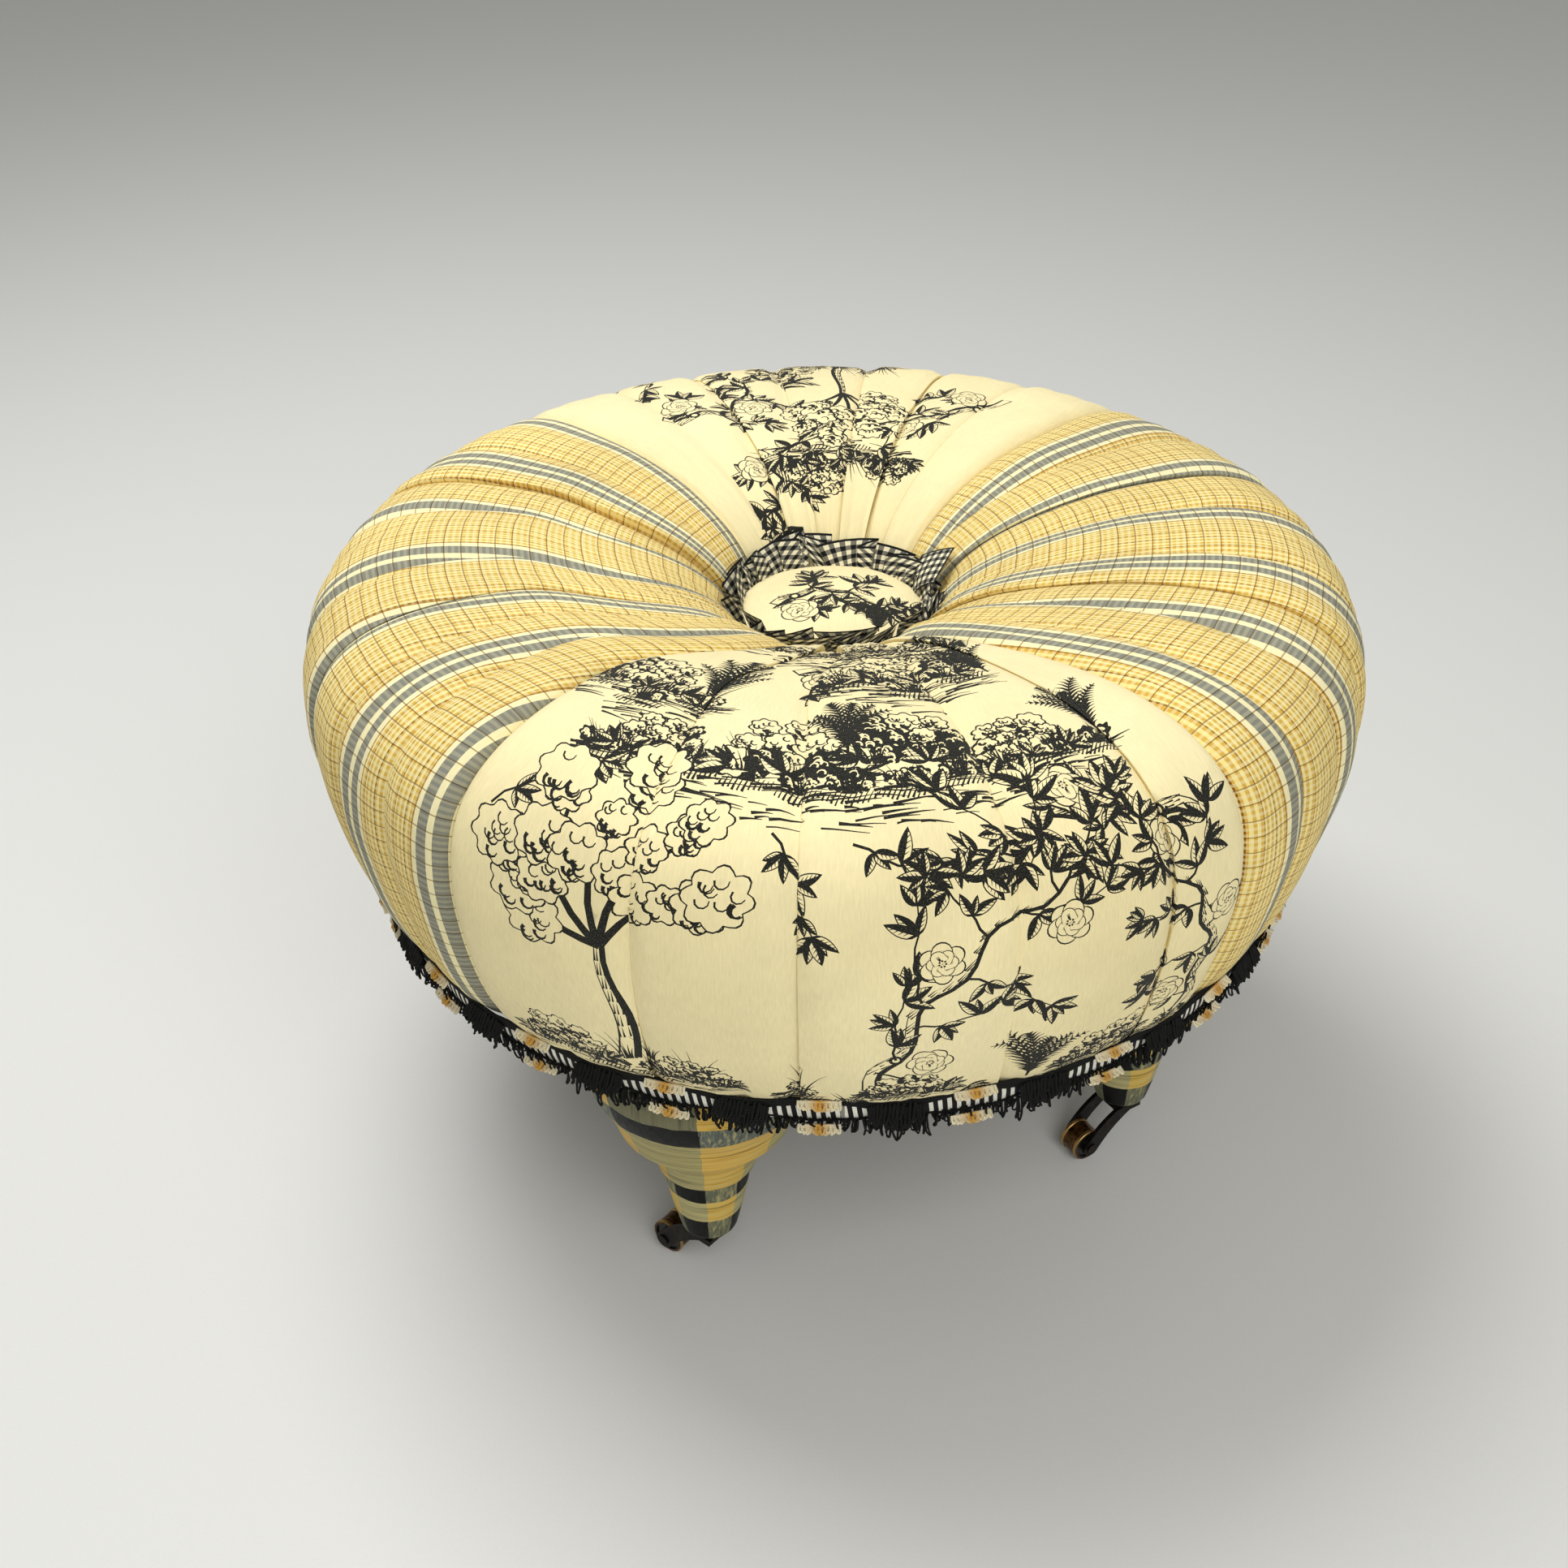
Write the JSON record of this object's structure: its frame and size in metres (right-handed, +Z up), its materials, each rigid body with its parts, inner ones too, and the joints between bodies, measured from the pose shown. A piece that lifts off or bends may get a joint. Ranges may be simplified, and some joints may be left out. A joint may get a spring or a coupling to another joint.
{
  "type": "upholstered footstool",
  "caption": "Round padded footstool with a gathered four-panel cover, a sunk centre button with a frill, a fringe round its foot, and turned legs on swivelling casters.",
  "frame": {"origin": "on the floor, under the middle of the round seat", "axes": "+Z up, -Y towards the front panel that faces the viewer of the picture, +X to that viewer's right"},
  "size_m": [0.7016, 0.7005, 0.4659],
  "materials": {
    "plywood": "matte",
    "padding": "matte",
    "black_cloth": "matte",
    "print_cotton": "matte",
    "plaid_cotton": "matte",
    "gingham_cotton": "matte",
    "ribbon": "matte",
    "black_yarn": "matte",
    "cream_yarn": "matte",
    "painted_wood": "satin",
    "zinc_steel": "satin",
    "bronzed_iron": "satin",
    "aged_brass": "satin"
  },
  "bodies": {
    "root": {"base_board": "plywood", "dust_cover": "black_cloth", "staples": "zinc_steel", "foam_core": "padding", "cover_front": "print_cotton", "cover_back": "print_cotton", "cover_right": "plaid_cotton", "cover_left": "plaid_cotton", "button_disc": "plywood", "button_pad": "padding", "button_cover": "print_cotton", "frill": "gingham_cotton", "braid": "ribbon", "fringe": "black_yarn", "tufts": "cream_yarn", "tie_bolt": "zinc_steel", "tie_washer": "zinc_steel", "tie_nut": "zinc_steel", "tee_nuts": "zinc_steel", "hanger_bolts": "zinc_steel", "leg_front": "painted_wood", "socket_front": "bronzed_iron", "leg_right": "painted_wood", "socket_right": "bronzed_iron", "leg_back": "painted_wood", "socket_back": "bronzed_iron", "leg_left": "painted_wood", "socket_left": "bronzed_iron"},
    "swivel_front": {"stem_front": "zinc_steel", "horn_front": "bronzed_iron", "axle_front": "bronzed_iron"},
    "roller_front": {"wheel_front": "aged_brass"},
    "swivel_right": {"stem_right": "zinc_steel", "horn_right": "bronzed_iron", "axle_right": "bronzed_iron"},
    "roller_right": {"wheel_right": "aged_brass"},
    "swivel_back": {"stem_back": "zinc_steel", "horn_back": "bronzed_iron", "axle_back": "bronzed_iron"},
    "roller_back": {"wheel_back": "aged_brass"},
    "swivel_left": {"stem_left": "zinc_steel", "horn_left": "bronzed_iron", "axle_left": "bronzed_iron"},
    "roller_left": {"wheel_left": "aged_brass"}
  },
  "joints": [
    {"name": "swivel_front", "type": "hinge", "parent": "root", "child": "swivel_front", "pos_m": [-0.08835, -0.21329, 0.06], "axis": [0, 0, 1], "continuous": true},
    {"name": "roll_front", "type": "hinge", "parent": "swivel_front", "child": "roller_front", "pos_m": [-0.11401, -0.19175, 0.0127], "axis": [-0.6428, -0.766, 0], "continuous": true},
    {"name": "swivel_right", "type": "hinge", "parent": "root", "child": "swivel_right", "pos_m": [0.21329, -0.08835, 0.06], "axis": [0, 0, 1], "continuous": true},
    {"name": "roll_right", "type": "hinge", "parent": "swivel_right", "child": "roller_right", "pos_m": [0.18457, -0.1056, 0.0127], "axis": [0.515, -0.8572, 0], "continuous": true},
    {"name": "swivel_back", "type": "hinge", "parent": "root", "child": "swivel_back", "pos_m": [0.08835, 0.21329, 0.06], "axis": [0, 0, 1], "continuous": true},
    {"name": "roll_back", "type": "hinge", "parent": "swivel_back", "child": "roller_back", "pos_m": [0.0998, 0.18181, 0.0127], "axis": [0.9397, 0.342, 0], "continuous": true},
    {"name": "swivel_left", "type": "hinge", "parent": "root", "child": "swivel_left", "pos_m": [-0.21329, 0.08835, 0.06], "axis": [0, 0, 1], "continuous": true},
    {"name": "roll_left", "type": "hinge", "parent": "swivel_left", "child": "roller_left", "pos_m": [-0.19313, 0.1151, 0.0127], "axis": [-0.7986, 0.6018, 0], "continuous": true}
  ]
}
